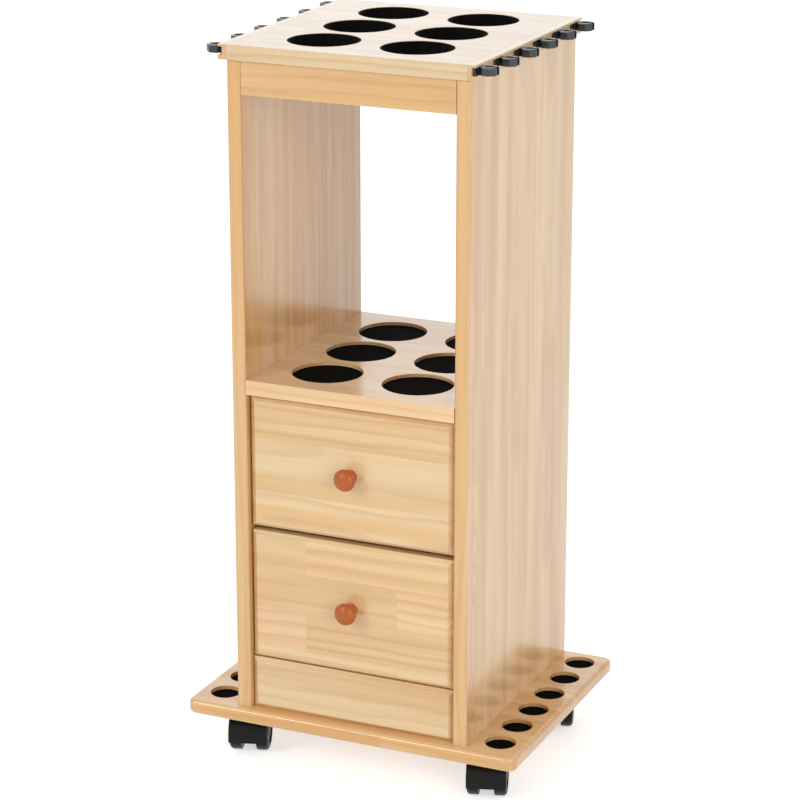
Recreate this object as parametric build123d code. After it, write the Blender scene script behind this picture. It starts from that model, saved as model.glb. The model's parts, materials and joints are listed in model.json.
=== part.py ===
from build123d import *
import math
import os

# Rolling rack for fishing rods and rod tubes, in clear pine: a bored top board with rod clips down
# both edges, an open bay over a shelf with tube rests, two drawers, and a base plate with rod butt
# rests that stands on four twin-wheel casters.
# Millimetres. +X is right, +Y is back, +Z is up. The floor is z = 0.

# ---------------------------------------------------------------- driving dimensions

# carcass
carcass_width = 305.0            # outside face to outside face of the side panels
carcass_depth = 327.0            # front edge to back edge of the side panels
side_height = 805.0              # base plate to top board
side_thickness = 18.0
side_edge_radius = 3.0           # round-over of the front and top front edges

# base plate
base_side_ledge = 65.5           # base plate beyond the side panels' outer faces
base_front_ledge = 10.5          # in front of their front edges
base_back_ledge = 2.5            # behind their back edges
base_thickness = 18.0
base_corner_radius = 11.0
base_edge_radius = 5.0

# rod butt rests in the base plate
butt_count = 6                   # down each side
butt_diameter = 37.6
butt_end_margin = 30.0           # outermost centres from the side panels' front and back edges
butt_depth = 6.0                 # of the bored recess, its pad included
butt_offset = 32.0               # side panel's outer face to the recess centre
pad_thickness = 1.5              # rubber pads in the butt rests and in the tube rests
pad_clearance = 0.3              # pad's edge to the bored wall

# top board
top_thickness = 18.0
top_side_overhang = 7.8
top_front_overhang = 5.0
top_edge_radius = 1.0
tube_columns = 2
tube_rows = 3
tube_diameter = 86.0             # holes in the top board and rests in the shelf
tube_column_pitch = 118.0
tube_row_pitch = 97.5
liner_thickness = 2.5            # felt ring in each hole
liner_clearance = 0.1
liner_inset = 0.3                # ring's ends below the board's faces

# clip rails on the top board's two ends, and the rod clips in their grooves
clip_rail_width = 10.0
clip_groove_depth = 5.2
clip_groove_height = 9.6
clip_groove_below_top = 3.0
clip_count = 6                   # on each rail
clip_end_margin = 15.5           # outermost clips' centres from the rail's ends
clip_clearance = 0.1             # base in the groove, above and below
clip_base_thickness = 3.0
clip_base_width = 24.0
clip_base_radius = 1.5
clip_neck_width = 8.0
clip_body_diameter = 21.0        # across the flats of the eight-sided body
clip_bore_diameter = 10.0
clip_mouth_width = 5.0
clip_throat_length = 1.0         # narrow part of the mouth outside the bore
clip_flare_width = 6.5           # mouth just outside its lips
clip_reach = 25.2                # groove's floor to the outer lips

# rails, shelf and kick panel between the sides
rail_height = 40.0
rail_thickness = 18.0
front_rail_recess = 1.0          # behind the side panels' front edges
back_rail_recess = 1.0           # in front of the side panels' back edges
rail_gap = 0.8                   # shadow gap under the top board
shelf_thickness = 18.0
shelf_height = 421.0             # shelf's top face above the base plate
shelf_back_gap = 1.0
shelf_row_pitch = 95.0
shelf_rest_depth = 5.5           # of the bored tube rest, its pad included
kick_height = 65.5
kick_side_gap = 0.6

# lower back panel, let into grooves in the sides
back_panel_thickness = 5.0
back_panel_inset = 8.0           # panel's back face to the side panels' back edges
back_groove_depth = 5.0
back_groove_clearance = 0.2

# drawers
drawer_front_recess = 5.0        # fronts behind the side panels' front edges
drawer_front_thickness = 18.0
drawer_side_gap = 2.0            # front's end to the side panel
drawer_low_gap = 2.0             # kick panel to the lower front
drawer_mid_gap = 6.0             # lower front to the upper front
drawer_top_gap = 3.5             # upper front to the shelf
bevel_side_width = 7.0           # sloped border of the fronts, at the ends
bevel_long_width = 5.0           # and along the top and bottom
bevel_depth = 5.0
box_side_clearance = 1.5         # drawer box to the side panel
box_side_thickness = 14.0
box_top_margin = 27.0            # box below the front's upper edge
box_edge_radius = 2.0            # round-over of the box sides' top edges
box_lift = 14.0                  # box above the front's lower edge
box_back_gap = 16.0              # box to the back panel, the drawer shut
box_back_thickness = 12.0
box_bottom_thickness = 4.0
box_bottom_lift = 8.0            # bottom panel above the box's lower edge
box_groove_depth = 5.0           # the bottom panel's groove in the sides and the front
box_groove_clearance = 0.2
runner_projection = 8.0          # hardwood runner out from the side panel
runner_height = 16.0
runner_front_setback = 30.0
runner_clearance = 0.4           # above and below the runner, in the drawer side's groove
runner_end_clearance = 0.5       # runner's face to the groove's floor

# turned knobs
knob_diameter = 27.0
knob_length = 25.0
knob_foot_diameter = 17.0
knob_foot_thickness = 3.0
knob_neck_diameter = 12.0
knob_neck_length = 2.5           # narrowest place to the head
knob_neck_flare = 0.8            # neck's growth, on the radius, from there to the head
knob_cove_sagitta = 0.7          # hollow of the foot's cove
knob_head_thickness = 15.0
knob_crown_height = 8.25         # head's widest place to its end

# casters
caster_side_inset = 58.0         # swivel axes from the base plate's edges
caster_front_inset = 63.0
caster_back_inset = 55.0
caster_trail = 10.0              # swivel axis to the axle
caster_heading = 18.0            # degrees that the casters stand turned
caster_wheel_diameter = 50.0
caster_width = 49.0
caster_wheel_spacing = 18.6      # between the two wheels of a caster
caster_wheel_shoulder = 5.0      # rounding of the wheel's outer edge
caster_wheel_chamfer = 1.0       # of the wheel's inner edge
caster_rim_width = 3.0           # flat ring between the shoulder and the dished face
caster_dish_depth = 1.6          # of the dished face at the rim
caster_boss_depth = 0.8          # and at its middle
caster_plate_size = 44.0
caster_plate_radius = 4.0
caster_plate_thickness = 2.5
caster_plate_gap = 0.5
caster_fender_gap = 1.2
caster_fender_thickness = 2.5
caster_fender_drop = 15.0        # degrees below the axle's level where the fender ends
caster_fender_edge = 2.0         # round-over of the fender's ends
caster_web_gap = 0.4
caster_web_radius = 14.4         # web's round lower part, about the axle
caster_axle_diameter = 6.0
caster_pin_diameter = 8.0
caster_pin_length = 15.0
caster_pin_end_gap = 1.0         # pin's end to the socket's floor
caster_socket_diameter = 26.0
caster_socket_rise = 1.3         # swivel socket above the fender
running_clearance = 0.08         # shafts in their holes, on the radius
wheel_cover = 4.0                # wheel's wall beyond the axle's end

# fasteners
dowel_diameter = 8.0
dowel_length = 30.0
dowel_depth = 10.0               # in the side panels' faces
dowel_end_margin = 45.0          # outermost dowels from the panel's edges
screw_diameter = 4.0
screw_head_diameter = 8.0
base_screw_length = 50.0
runner_screw_length = 16.0
caster_screw_cover = 1.5         # wood between the screws' points and the butt rests
caster_screw_inset = 6.0         # from the plate's edges
knob_screw_diameter = 4.0
knob_screw_head_diameter = 8.0
knob_screw_head_height = 2.4
knob_screw_grip = 12.0           # thread inside the knob

cut_margin = 1.0                 # how far a cut runs past the face that it opens

# ---------------------------------------------------------------- levels and planes

fender_inner = caster_wheel_diameter / 2 + caster_fender_gap
fender_outer = fender_inner + caster_fender_thickness
socket_top = fender_outer + caster_socket_rise            # above the axle
caster_height = caster_wheel_diameter / 2 + socket_top + caster_plate_gap + caster_plate_thickness
caster_screw_length = caster_plate_thickness + base_thickness - butt_depth - caster_screw_cover

base_bottom = caster_height
base_top = base_bottom + base_thickness
carcass_top = base_top + side_height
top_face = carcass_top + top_thickness
shelf_top = base_top + shelf_height
shelf_bottom = shelf_top - shelf_thickness

# the knobs stand out past the base plate, so the plate sits a little back of the origin
knob_overhang = max(0.0, knob_length - base_front_ledge - drawer_front_recess)
base_width = carcass_width + 2 * base_side_ledge
base_depth = base_front_ledge + carcass_depth + base_back_ledge
base_front = -(base_depth - knob_overhang) / 2
base_back = base_front + base_depth
carcass_front = base_front + base_front_ledge
carcass_back = carcass_front + carcass_depth
carcass_middle = (carcass_front + carcass_back) / 2

side_outer = carcass_width / 2
side_inner = side_outer - side_thickness
top_outer = side_outer + top_side_overhang
top_front = carcass_front - top_front_overhang
core_half_width = top_outer - clip_rail_width
back_panel_back = carcass_back - back_panel_inset
back_panel_front = back_panel_back - back_panel_thickness
front_face = carcass_front + drawer_front_recess
front_back = front_face + drawer_front_thickness

kick_top = base_top + kick_height
lower_front_bottom = kick_top + drawer_low_gap
drawer_front_height = (shelf_bottom - drawer_top_gap - drawer_mid_gap - lower_front_bottom) / 2
upper_front_bottom = lower_front_bottom + drawer_front_height + drawer_mid_gap
drawer_bottoms = {"lower": lower_front_bottom, "upper": upper_front_bottom}
box_half_width = side_inner - box_side_clearance
box_inner = box_half_width - box_side_thickness
box_back = back_panel_front - box_back_gap
box_side_height = drawer_front_height - box_lift - box_top_margin
runner_lift = box_lift + (box_side_height - runner_height) / 2   # above the front's lower edge
runner_front = carcass_front + runner_front_setback
runner_back = back_panel_front

sides = {"left": -1, "right": 1}
corners = {
    "front_left": (-1, -1),
    "front_right": (1, -1),
    "rear_left": (-1, 1),
    "rear_right": (1, 1),
}


# ---------------------------------------------------------------- shape helpers

def block(x, y, z):
    """A box between the low and high values of x, y and z."""
    size = [high - low for low, high in (x, y, z)]
    middle = [(high + low) / 2 for low, high in (x, y, z)]
    return Pos(*middle) * Box(*size)


def disc(centre, diameter, bottom, top):
    """An upright cylinder between two levels."""
    return Pos(centre[0], centre[1], (bottom + top) / 2) * Cylinder(diameter / 2, top - bottom)


def rod(start, end, diameter):
    """A cylinder from one point to another."""
    axis = Vector(*end) - Vector(*start)
    return extrude(Plane(origin=start, z_dir=axis) * Circle(diameter / 2), axis.length)


def span(pitch, count):
    """Evenly spaced places about zero."""
    return [(index - (count - 1) / 2) * pitch for index in range(count)]


def mirrored_span(length, margin, count):
    """Places from one margin to the other of a length that starts at zero."""
    step = (length - 2 * margin) / (count - 1)
    return [margin + index * step for index in range(count)]


def upright_edges(solid):
    return solid.edges().filter_by(Axis.Z)


def countersunk_screw(head_at, direction, length):
    """A wood screw: cone head, shank and point. head_at is the middle of the head's flat face."""
    sink = (screw_head_diameter - screw_diameter) / 2
    point = screw_diameter
    plane = Plane(origin=head_at, z_dir=direction)
    profile = Polyline(
        (0, 0), (screw_head_diameter / 2, 0), (screw_diameter / 2, sink),
        (screw_diameter / 2, length - point), (0, length), close=True)
    turned = revolve(Plane.XZ * make_face(profile), Axis.Z)
    return plane.location * turned


def grid(columns, column_pitch, rows, row_pitch):
    """Centres of a rectangular pattern about the carcass's middle."""
    return [(x, carcass_middle + y)
            for y in span(row_pitch, rows) for x in span(column_pitch, columns)]


def bevelled_front(half_width, bottom, top):
    """A panel whose front face has a sloped, mitred border."""
    height = top - bottom
    middle = (bottom + top) / 2
    border = front_face + bevel_depth
    slab = block((-half_width, half_width), (border, front_back), (bottom, top))
    outer = (Plane(origin=(0, border, middle), x_dir=(1, 0, 0), z_dir=(0, -1, 0))
             * Rectangle(2 * half_width, height))
    inner = (Plane(origin=(0, front_face, middle), x_dir=(1, 0, 0), z_dir=(0, -1, 0))
             * Rectangle(2 * (half_width - bevel_side_width), height - 2 * bevel_long_width))
    return slab + loft([outer, inner])


# ---------------------------------------------------------------- fasteners

def panel_dowels():
    """Beech dowels that join the top board, rails, shelf and kick panel to the side panels."""
    dowels = []
    in_panel = dowel_length - dowel_depth
    for sign in sides.values():
        for y in mirrored_span(carcass_depth, dowel_end_margin, 3):
            x = sign * (side_inner + side_outer) / 2
            dowels.append(rod((x, carcass_front + y, carcass_top + dowel_depth),
                              (x, carcass_front + y, carcass_top - in_panel), dowel_diameter))
        rail_level = carcass_top - rail_gap - rail_height / 2
        level_pieces = [
            (carcass_front + front_rail_recess + rail_thickness / 2, rail_level),
            (carcass_back - back_rail_recess - rail_thickness / 2, rail_level),
            (front_back - (drawer_front_thickness - bevel_depth) / 2, base_top + kick_height / 2),
        ]
        level_pieces += [(carcass_front + y, shelf_bottom + shelf_thickness / 2)
                         for y in mirrored_span(carcass_depth, dowel_end_margin, 3)]
        for y, z in level_pieces:
            dowels.append(rod((sign * (side_inner + dowel_depth), y, z),
                              (sign * (side_inner - in_panel), y, z), dowel_diameter))
    return dowels


def base_screws():
    """Screws up through the base plate into the side panels."""
    return [countersunk_screw((sign * (side_inner + side_outer) / 2, carcass_front + y, base_bottom),
                              (0, 0, 1), base_screw_length)
            for sign in sides.values() for y in mirrored_span(carcass_depth, dowel_end_margin, 3)]


def runner_screws():
    """Two screws through each runner into its side panel."""
    screws = []
    length = runner_back - runner_front
    for bottom in drawer_bottoms.values():
        z = bottom + runner_lift + runner_height / 2
        for sign in sides.values():
            for y in mirrored_span(length, dowel_end_margin, 2):
                screws.append(countersunk_screw(
                    (sign * (side_inner - runner_projection), runner_front + y, z),
                    (sign, 0, 0), runner_screw_length))
    return screws


def caster_screws():
    """Four screws up through each caster plate into the base plate."""
    reach = caster_plate_size / 2 - caster_screw_inset
    low = base_bottom - caster_plate_thickness
    return [countersunk_screw((x + dx, y + dy, low), (0, 0, 1), caster_screw_length)
            for x, y in map(swivel_centre, corners) for dx in (-reach, reach) for dy in (-reach, reach)]


# ---------------------------------------------------------------- fixed wooden pieces

def base_plate(cutters):
    plate = block((-base_width / 2, base_width / 2), (base_front, base_back), (base_bottom, base_top))
    plate = fillet(upright_edges(plate), base_corner_radius)
    rims = plate.faces().sort_by(Axis.Z)
    plate = fillet(rims[0].edges() + rims[-1].edges(), base_edge_radius)
    for sign in sides.values():
        for centre in butt_centres(sign):
            plate -= disc(centre, butt_diameter, base_top - butt_depth, base_top + cut_margin)
    return plate - cutters


def butt_centres(sign):
    """Centres of the rod butt rests on one side."""
    return [(sign * (side_outer + butt_offset), carcass_front + y)
            for y in mirrored_span(carcass_depth, butt_end_margin, butt_count)]


def side_panel(sign, cutters):
    panel = block(sorted((sign * side_inner, sign * side_outer)),
                  (carcass_front, carcass_back), (base_top, carcass_top))
    front = panel.faces().sort_by(Axis.Y)[0]
    rounded = front.edges().filter_by(Axis.Z) + front.edges().filter_by(Axis.X).sort_by(Axis.Z)[-1:]
    panel = fillet(rounded, side_edge_radius)
    groove = block(sorted((sign * (side_inner - cut_margin), sign * (side_inner + back_groove_depth))),
                   (back_panel_front - back_groove_clearance, back_panel_back + back_groove_clearance),
                   (base_top, shelf_bottom))
    return panel - groove - cutters


def top_board(cutters):
    """The bored board between the two clip rails."""
    board = block((-core_half_width, core_half_width), (top_front, carcass_back), (carcass_top, top_face))
    front = board.faces().sort_by(Axis.Y)[0]
    board = fillet(front.edges().filter_by(Axis.X), top_edge_radius)
    for centre in grid(tube_columns, tube_column_pitch, tube_rows, tube_row_pitch):
        board -= disc(centre, tube_diameter, carcass_top - cut_margin, top_face + cut_margin)
    return board - cutters


def clip_rail(sign, cutters):
    """The top board's end strip, grooved along its edge for the rod clips."""
    strip = block(sorted((sign * core_half_width, sign * top_outer)),
                  (top_front, carcass_back), (carcass_top, top_face))
    outer = strip.faces().sort_by(Axis.X)[-1 if sign > 0 else 0]
    strip = fillet(outer.edges().filter_by(Axis.Y), top_edge_radius)
    groove = block(sorted((sign * (top_outer - clip_groove_depth), sign * (top_outer + cut_margin))),
                   (top_front - cut_margin, carcass_back + cut_margin), clip_groove_levels())
    return strip - groove - cutters


def clip_groove_levels():
    top = top_face - clip_groove_below_top
    return (top - clip_groove_height, top)


def rail(front, cutters):
    """A cross rail under the top board."""
    top = carcass_top - rail_gap
    return block((-side_inner, side_inner), (front, front + rail_thickness),
                 (top - rail_height, top)) - cutters


def shelf(cutters):
    board = block((-side_inner, side_inner), (carcass_front, carcass_back - shelf_back_gap),
                  (shelf_bottom, shelf_top))
    front = board.faces().sort_by(Axis.Y)[0]
    board = fillet(front.edges().filter_by(Axis.X), top_edge_radius)
    for centre in grid(tube_columns, tube_column_pitch, tube_rows, shelf_row_pitch):
        board -= disc(centre, tube_diameter, shelf_top - shelf_rest_depth, shelf_top + cut_margin)
    return board - cutters


def kick_panel(cutters):
    return bevelled_front(side_inner - kick_side_gap, base_top, kick_top) - cutters


def back_panel():
    reach = side_inner + back_groove_depth - back_groove_clearance
    return block((-reach, reach), (back_panel_front, back_panel_back), (base_top, shelf_bottom))


def runner(sign, front_bottom, cutters):
    bottom = front_bottom + runner_lift
    strip = block(sorted((sign * (side_inner - runner_projection), sign * side_inner)),
                  (runner_front, runner_back), (bottom, bottom + runner_height))
    return strip - cutters


# ---------------------------------------------------------------- rings, pads and clips

def hole_liners():
    """Felt rings in the top board's holes."""
    outer = tube_diameter - 2 * liner_clearance
    inner = outer - 2 * liner_thickness
    low, high = carcass_top + liner_inset, top_face - liner_inset
    return [disc(centre, outer, low, high) - disc(centre, inner, low - cut_margin, high + cut_margin)
            for centre in grid(tube_columns, tube_column_pitch, tube_rows, tube_row_pitch)]


def shelf_pads():
    floor = shelf_top - shelf_rest_depth
    return [disc(centre, tube_diameter - 2 * pad_clearance, floor, floor + pad_thickness)
            for centre in grid(tube_columns, tube_column_pitch, tube_rows, shelf_row_pitch)]


def butt_pads(sign):
    floor = base_top - butt_depth
    return [disc(centre, butt_diameter - 2 * pad_clearance, floor, floor + pad_thickness)
            for centre in butt_centres(sign)]


def rod_clip():
    """One clip lying along +X from its groove's floor, its mouth outward."""
    height = clip_groove_height - 2 * clip_clearance
    body_x = clip_reach - clip_body_diameter / 2
    base = block((0, clip_base_thickness), (-clip_base_width / 2, clip_base_width / 2), (0, height))
    base = fillet(base.faces().sort_by(Axis.X)[-1].edges().filter_by(Axis.Z), clip_base_radius)
    neck = block((0, body_x), (-clip_neck_width / 2, clip_neck_width / 2), (0, height))
    corner_radius = clip_body_diameter / 2 / math.cos(math.pi / 8)
    outline = Rot(0, 0, 22.5) * RegularPolygon(corner_radius, 8)
    body = extrude(Pos(body_x, 0) * outline, height)
    throat_x = body_x + clip_bore_diameter / 2 + clip_throat_length
    lip_x = clip_reach + cut_margin
    mouth = make_face(Polyline(
        (body_x, -clip_mouth_width / 2), (throat_x, -clip_mouth_width / 2),
        (lip_x, -clip_flare_width / 2), (lip_x, clip_flare_width / 2),
        (throat_x, clip_mouth_width / 2), (body_x, clip_mouth_width / 2), close=True))
    bore = Pos(body_x, 0) * Circle(clip_bore_diameter / 2)
    return base + neck + body - extrude(mouth, height) - extrude(bore, height)


def rod_clips(sign):
    """The clips on one rail."""
    clip = rod_clip()
    turn = 0 if sign > 0 else 180
    floor_x = sign * (top_outer - clip_groove_depth)
    bottom = clip_groove_levels()[0] + clip_clearance
    return [Pos(floor_x, top_front + y, bottom) * Rot(0, 0, turn) * clip
            for y in mirrored_span(carcass_back - top_front, clip_end_margin, clip_count)]


# ---------------------------------------------------------------- drawers

def drawer_pieces(front_bottom):
    """The pieces of one drawer, by name, with the knob and its screw."""
    front_half_width = side_inner - drawer_side_gap
    box_bottom = front_bottom + box_lift
    box_top = box_bottom + box_side_height
    panel_low = box_bottom + box_bottom_lift
    panel_high = panel_low + box_bottom_thickness
    panel_reach = box_inner + box_groove_depth - box_groove_clearance
    panel = block((-panel_reach, panel_reach),
                  (front_back - box_groove_depth + box_groove_clearance, box_back),
                  (panel_low, panel_high))
    slot = block((-box_inner - box_groove_depth, box_inner + box_groove_depth),
                 (front_back - box_groove_depth, box_back + cut_margin),
                 (panel_low - box_groove_clearance, panel_high + box_groove_clearance))
    middle = front_bottom + drawer_front_height / 2
    screw = knob_screw(middle)
    pieces = {
        "front": bevelled_front(front_half_width, front_bottom, front_bottom + drawer_front_height)
                 - slot - screw,
        "back": block((-box_inner, box_inner), (box_back - box_back_thickness, box_back),
                      (panel_high + box_groove_clearance, box_top)),
        "bottom": panel,
        "knob": knob(middle) - screw,
        "knob_screw": screw,
    }
    runner_low = front_bottom + runner_lift - runner_clearance
    runner_high = runner_low + runner_height + 2 * runner_clearance
    groove_floor = side_inner - runner_projection - runner_end_clearance
    for name, sign in sides.items():
        side = block(sorted((sign * box_inner, sign * box_half_width)),
                     (front_back, box_back), (box_bottom, box_top))
        side = fillet(side.faces().sort_by(Axis.Z)[-1].edges().filter_by(Axis.Y), box_edge_radius)
        groove = block(sorted((sign * groove_floor, sign * (box_half_width + cut_margin))),
                       (front_back - cut_margin, box_back + cut_margin), (runner_low, runner_high))
        pieces[name + "_side"] = side - slot - groove
    return pieces


def knob(height):
    """A turned knob: foot, waisted neck and mushroom head, lying along -Y from the drawer front."""
    foot_radius = knob_foot_diameter / 2
    neck_radius = knob_neck_diameter / 2
    head_radius = knob_diameter / 2
    head_back = knob_length - knob_head_thickness
    foot_edge = (foot_radius, knob_foot_thickness / 2)
    neck = (neck_radius, head_back - knob_neck_length)
    under_head = (neck_radius + knob_neck_flare, head_back)
    outline = [
        Line((0, 0), (foot_radius, 0)),
        Line((foot_radius, 0), foot_edge),
        SagittaArc(foot_edge, neck, knob_cove_sagitta),
        Line(neck, under_head),
        Spline(under_head, (head_radius, knob_length - knob_crown_height), (0, knob_length),
               tangents=((1, 0.15), (-1, 0))),
        Line((0, knob_length), (0, 0)),
    ]
    turned = revolve(Plane.XZ * make_face(Wire(outline)), Axis.Z)
    return Plane(origin=(0, front_face, height), z_dir=(0, -1, 0)).location * turned


def knob_screw(height):
    """A machine screw from inside the drawer front into the knob."""
    head = rod((0, front_back + knob_screw_head_height, height), (0, front_back, height),
               knob_screw_head_diameter)
    shank = rod((0, front_back, height), (0, front_face - knob_screw_grip, height), knob_screw_diameter)
    return head + shank


# ---------------------------------------------------------------- casters

def swivel_centre(corner):
    """Where the swivel axis of a corner's caster stands."""
    sign_x, sign_y = corners[corner]
    y = base_front + caster_front_inset if sign_y < 0 else base_back - caster_back_inset
    return (sign_x * (base_width / 2 - caster_side_inset), y)


def caster_wheel(sign):
    """One wheel on the X axis, its bore open towards the web and its outer edge rounded."""
    inner = caster_wheel_spacing / 2
    outer = caster_width / 2
    radius = caster_wheel_diameter / 2
    bore = caster_axle_diameter / 2 + running_clearance
    shoulder = caster_wheel_shoulder
    chamfer = caster_wheel_chamfer
    dish = radius - shoulder - caster_rim_width
    face = Polyline(
        (bore, outer - wheel_cover), (0, outer - wheel_cover), (0, outer - caster_boss_depth),
        (dish - caster_dish_depth, outer - caster_dish_depth), (dish, outer), (radius - shoulder, outer))
    edge = RadiusArc((radius - shoulder, outer), (radius, outer - shoulder), shoulder)
    inside = Polyline(
        (radius, outer - shoulder), (radius, inner + chamfer), (radius - chamfer, inner),
        (bore, inner), (bore, outer - wheel_cover))
    turned = revolve(Plane.XZ * make_face(Wire(face.edges() + [edge] + inside.edges())), Axis.Z)
    return Plane(origin=(0, 0, 0), z_dir=(sign, 0, 0)).location * turned


def caster_axle():
    reach = caster_width / 2 - wheel_cover - running_clearance
    return rod((-reach, 0, 0), (reach, 0, 0), caster_axle_diameter)


def caster_hood():
    """Fender over both wheels, the web between them and the swivel socket, about the axle."""
    inner, outer, top = fender_inner, fender_outer, socket_top
    half_width = caster_width / 2
    web_half = caster_wheel_spacing / 2 - caster_web_gap
    drop = math.radians(caster_fender_drop)
    plane = Plane(origin=(-half_width, 0, 0), x_dir=(0, 1, 0), z_dir=(1, 0, 0))
    wedge = make_face(Polyline(
        (0, 0), (2 * outer * math.cos(drop), -2 * outer * math.sin(drop)), (2 * outer, 2 * outer),
        (-2 * outer, 2 * outer), (-2 * outer * math.cos(drop), -2 * outer * math.sin(drop)), close=True))
    fender = extrude(plane * ((Circle(outer) - Circle(inner)) & wedge), caster_width)
    ends = fender.edges().filter_by(GeomType.CIRCLE).filter_by(lambda e: abs(e.radius - outer) < 0.01)
    fender = fillet(ends, caster_fender_edge)
    web_plane = Plane(origin=(-web_half, 0, 0), x_dir=(0, 1, 0), z_dir=(1, 0, 0))
    web_shape = (Circle(inner + caster_fender_thickness / 2) & wedge) + Circle(caster_web_radius)
    web = extrude(web_plane * web_shape, 2 * web_half)
    socket = disc((0, caster_trail), caster_socket_diameter, inner + caster_fender_thickness / 2, top)
    hood = fender + web + socket
    hood -= disc((0, caster_trail), caster_pin_diameter + 2 * running_clearance,
                 top + caster_plate_gap - caster_pin_length - caster_pin_end_gap, top + cut_margin)
    return hood - rod((-half_width, 0, 0), (half_width, 0, 0), caster_axle_diameter)


def caster_plate(centre, cutters):
    """Mounting plate with its swivel pin."""
    low = base_bottom - caster_plate_thickness
    half = caster_plate_size / 2
    plate = block((centre[0] - half, centre[0] + half), (centre[1] - half, centre[1] + half),
                  (low, base_bottom))
    plate = fillet(upright_edges(plate), caster_plate_radius)
    return plate - cutters + disc(centre, caster_pin_diameter, low - caster_pin_length, low)


def caster_pieces(corner, cutters):
    """One caster's pieces, turned to its heading and set under its corner of the base plate."""
    centre = swivel_centre(corner)
    place = (Pos(centre[0], centre[1], caster_wheel_diameter / 2)
             * Rot(0, 0, caster_heading) * Pos(0, -caster_trail, 0))
    return {
        corner + "_caster_plate": caster_plate(centre, cutters),
        corner + "_caster_hood": place * caster_hood(),
        corner + "_caster_axle": place * caster_axle(),
        corner + "_caster_left_wheel": place * caster_wheel(-1),
        corner + "_caster_right_wheel": place * caster_wheel(1),
    }


# ---------------------------------------------------------------- assembly

def build():
    """Every sub-part by its node's name."""
    dowels = panel_dowels()
    up_screws = base_screws()
    side_screws = runner_screws()
    plate_screws = caster_screws()
    parts = {
        "base_plate": base_plate(up_screws + plate_screws),
        "left_side_panel": side_panel(-1, dowels + up_screws + side_screws),
        "right_side_panel": side_panel(1, dowels + up_screws + side_screws),
        "top_board": top_board(dowels),
        "left_clip_rail": clip_rail(-1, dowels),
        "right_clip_rail": clip_rail(1, dowels),
        "front_rail": rail(carcass_front + front_rail_recess, dowels),
        "back_rail": rail(carcass_back - back_rail_recess - rail_thickness, dowels),
        "shelf": shelf(dowels),
        "kick_panel": kick_panel(dowels),
        "back_panel": back_panel(),
        "top_hole_liners": hole_liners(),
        "shelf_pads": shelf_pads(),
        "left_butt_pads": butt_pads(-1),
        "right_butt_pads": butt_pads(1),
        "left_rod_clips": rod_clips(-1),
        "right_rod_clips": rod_clips(1),
        "panel_dowels": dowels,
        "base_screws": up_screws,
        "runner_screws": side_screws,
        "caster_screws": plate_screws,
    }
    for level, front_bottom in drawer_bottoms.items():
        for side, sign in sides.items():
            parts[f"{level}_{side}_runner"] = runner(sign, front_bottom, side_screws)
        for piece, solid in drawer_pieces(front_bottom).items():
            parts[f"{level}_drawer_{piece}"] = solid
    for corner in corners:
        parts.update(caster_pieces(corner, plate_screws))
    return parts


os.makedirs("parts", exist_ok=True)
for node, shape in build().items():
    solid = Compound(children=shape) if isinstance(shape, list) else shape
    export_step(solid, f"parts/{node}.step")
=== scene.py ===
"""Looks of the rolling fishing rod rack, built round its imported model.

Lengths are metres in the model's own frame: +X right, +Y back, +Z up, the floor at z = 0. Sizes that the
frame holds are read from it. Boards, knobs, clips, rings, pads and casters are modelled again with softened
edges, and every finish is procedural.
"""

from contextlib import contextmanager
from dataclasses import dataclass, field
from enum import Enum
from functools import partial
from typing import Callable, Iterator
import json
import logging
import math

import bmesh
import bpy
from mathutils import Matrix, Vector

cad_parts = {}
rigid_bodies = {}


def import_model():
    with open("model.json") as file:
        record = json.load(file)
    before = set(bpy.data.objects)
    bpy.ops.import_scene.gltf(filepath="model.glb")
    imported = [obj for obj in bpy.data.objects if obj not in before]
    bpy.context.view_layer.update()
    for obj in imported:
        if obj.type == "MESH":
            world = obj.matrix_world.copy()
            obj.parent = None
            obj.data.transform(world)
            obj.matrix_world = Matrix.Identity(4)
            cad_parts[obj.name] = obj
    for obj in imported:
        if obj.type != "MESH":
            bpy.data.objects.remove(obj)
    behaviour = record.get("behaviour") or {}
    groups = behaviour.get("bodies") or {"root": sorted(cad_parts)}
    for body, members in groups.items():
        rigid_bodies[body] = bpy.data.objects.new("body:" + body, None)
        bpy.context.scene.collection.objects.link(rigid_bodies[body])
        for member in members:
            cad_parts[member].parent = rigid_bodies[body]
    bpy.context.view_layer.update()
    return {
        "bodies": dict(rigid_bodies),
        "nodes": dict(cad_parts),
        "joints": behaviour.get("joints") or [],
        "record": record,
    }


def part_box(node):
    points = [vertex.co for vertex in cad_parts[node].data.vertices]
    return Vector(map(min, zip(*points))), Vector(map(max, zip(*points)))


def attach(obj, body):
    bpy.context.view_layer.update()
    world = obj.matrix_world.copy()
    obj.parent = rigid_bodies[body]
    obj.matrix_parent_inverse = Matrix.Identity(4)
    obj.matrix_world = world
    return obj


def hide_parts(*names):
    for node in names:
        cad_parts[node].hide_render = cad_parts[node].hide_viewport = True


log = logging.getLogger("rod_rack")

Point = tuple[float, float, float]
Source = bpy.types.NodeSocket | bpy.types.Node

MM = 0.001
TINY = 1e-5
MOSTLY = 0.9                        # the least part along an axis of a direction that counts as that axis
UP = Vector((0, 0, 1))
SIDES = (("left", -1), ("right", 1))
CORNERS = ("front_left", "front_right", "rear_left", "rear_right")


# ---------------------------------------------------------------- modelling

def deselect() -> None:
    """Leave edit mode and clear the selection, which the next operator would otherwise act on."""
    if bpy.context.object and bpy.context.object.mode != "OBJECT":
        bpy.ops.object.mode_set(mode="OBJECT")
    bpy.ops.object.select_all(action="DESELECT")


def hold(*pieces: bpy.types.Object) -> bpy.types.Object:
    """Select only these pieces and make the first one active.

    Args:
        pieces: The objects to select.

    Returns:
        The first piece.
    """
    deselect()
    for piece in pieces:
        piece.select_set(True)
    bpy.context.view_layer.objects.active = pieces[0]
    return pieces[0]


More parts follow.
